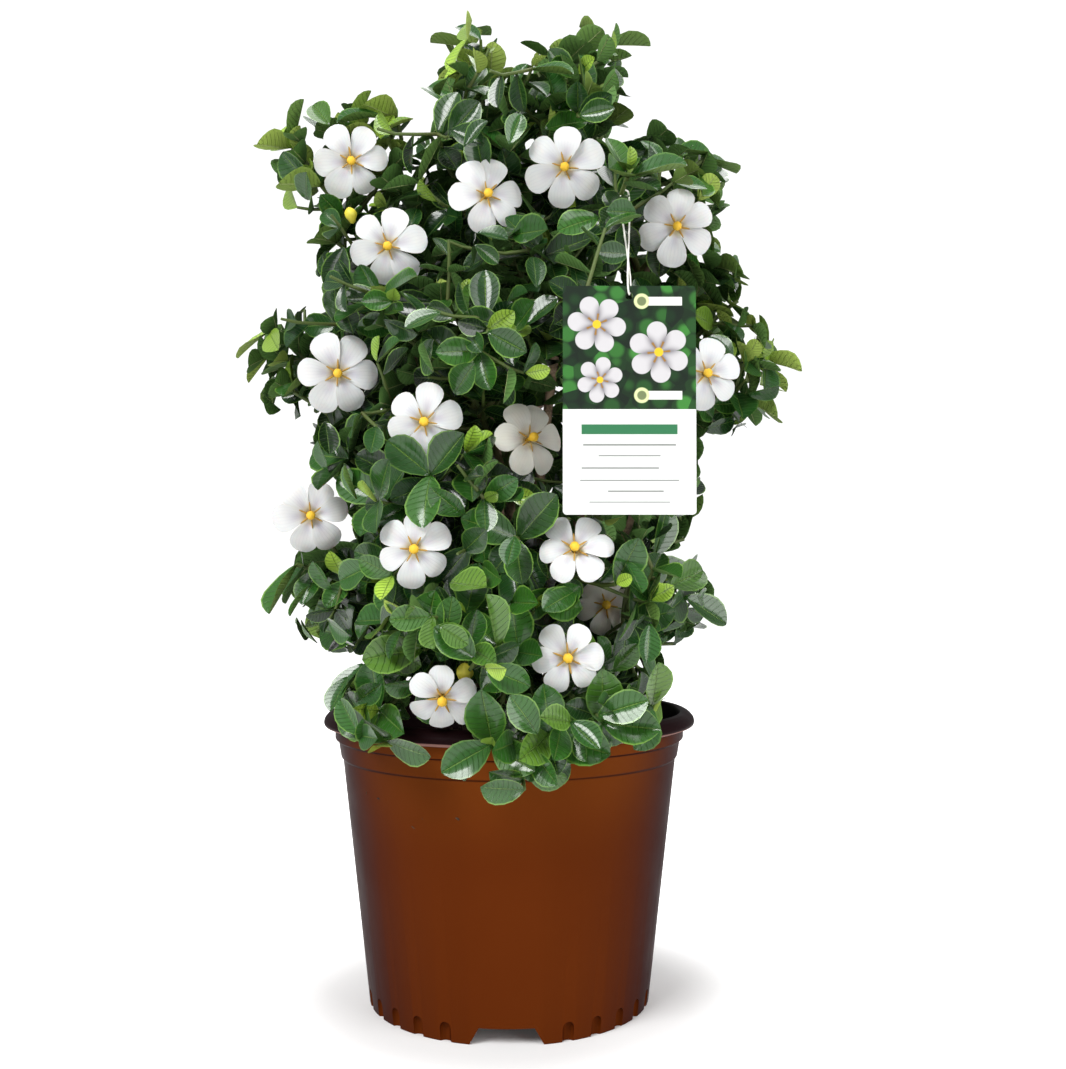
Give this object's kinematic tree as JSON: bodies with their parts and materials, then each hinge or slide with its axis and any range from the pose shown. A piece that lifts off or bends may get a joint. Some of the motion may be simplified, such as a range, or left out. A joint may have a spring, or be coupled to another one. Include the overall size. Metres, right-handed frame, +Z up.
{
  "type": "potted gardenia",
  "caption": "Bushy flowering gardenia shrub in a round brown plastic nursery pot: leafy branches with white six-petalled blooms, and a card hung in front.",
  "frame": {"origin": "middle of the pot's foot, on the flat pad under its floor, at ground level", "axes": "+Z up along the pot's axis; -Y to the front, where the card hangs and the blooms face; +X to the right seen from the front"},
  "size_m": [0.4242, 0.3638, 0.7521],
  "materials": {
    "pot": "satin brown moulded plastic",
    "potting_mix": "dark crumbly bark and peat mix",
    "bark": "rough grey-brown bark",
    "tag_card": "smooth printed plastic card",
    "elastic": "matt white elastic",
    "petals": "soft matt white petal",
    "heart": "matt yellow and golden brown",
    "foliage": "glossy dark green leaf"
  },
  "bodies": {
    "root": {"pot": "pot", "potting_mix": "potting_mix", "woody_stems": "bark", "plant_tag": "tag_card", "tag_loop": "elastic", "bloom_01_petals": "petals", "bloom_01_heart": "heart", "bloom_02_petals": "petals", "bloom_02_heart": "heart", "bloom_03_petals": "petals", "bloom_03_heart": "heart", "bloom_04_petals": "petals", "bloom_04_heart": "heart", "bloom_05_petals": "petals", "bloom_05_heart": "heart", "bloom_06_petals": "petals", "bloom_06_heart": "heart", "bloom_07_petals": "petals", "bloom_07_heart": "heart", "bloom_08_petals": "petals", "bloom_08_heart": "heart", "bloom_09_petals": "petals", "bloom_09_heart": "heart", "bloom_10_petals": "petals", "bloom_10_heart": "heart", "bloom_11_petals": "petals", "bloom_11_heart": "heart", "bloom_12_petals": "petals", "bloom_12_heart": "heart", "bloom_13_petals": "petals", "bloom_13_heart": "heart", "bloom_14_petals": "petals", "bloom_14_heart": "heart", "bloom_15_petals": "petals", "bloom_15_heart": "heart", "bloom_16_petals": "petals", "bloom_16_heart": "heart", "bloom_17_petals": "petals", "bloom_17_heart": "heart", "bloom_18_petals": "petals", "bloom_18_heart": "heart", "branch_spire_left": "foliage", "branch_spire_right": "foliage", "branch_lobe_left": "foliage", "branch_shoulder_left": "foliage", "branch_lobe_right": "foliage", "branch_arm_right": "foliage", "branch_arm_left": "foliage", "branch_breast": "foliage", "branch_flank_left": "foliage", "branch_low_left": "foliage", "branch_belly": "foliage", "branch_low_right": "foliage", "branch_skirt_left": "foliage", "branch_skirt_right": "foliage", "branch_back_top": "foliage", "branch_back_left": "foliage", "branch_back_right": "foliage", "branch_back_middle": "foliage", "branch_back_low": "foliage"}
  },
  "joints": []
}
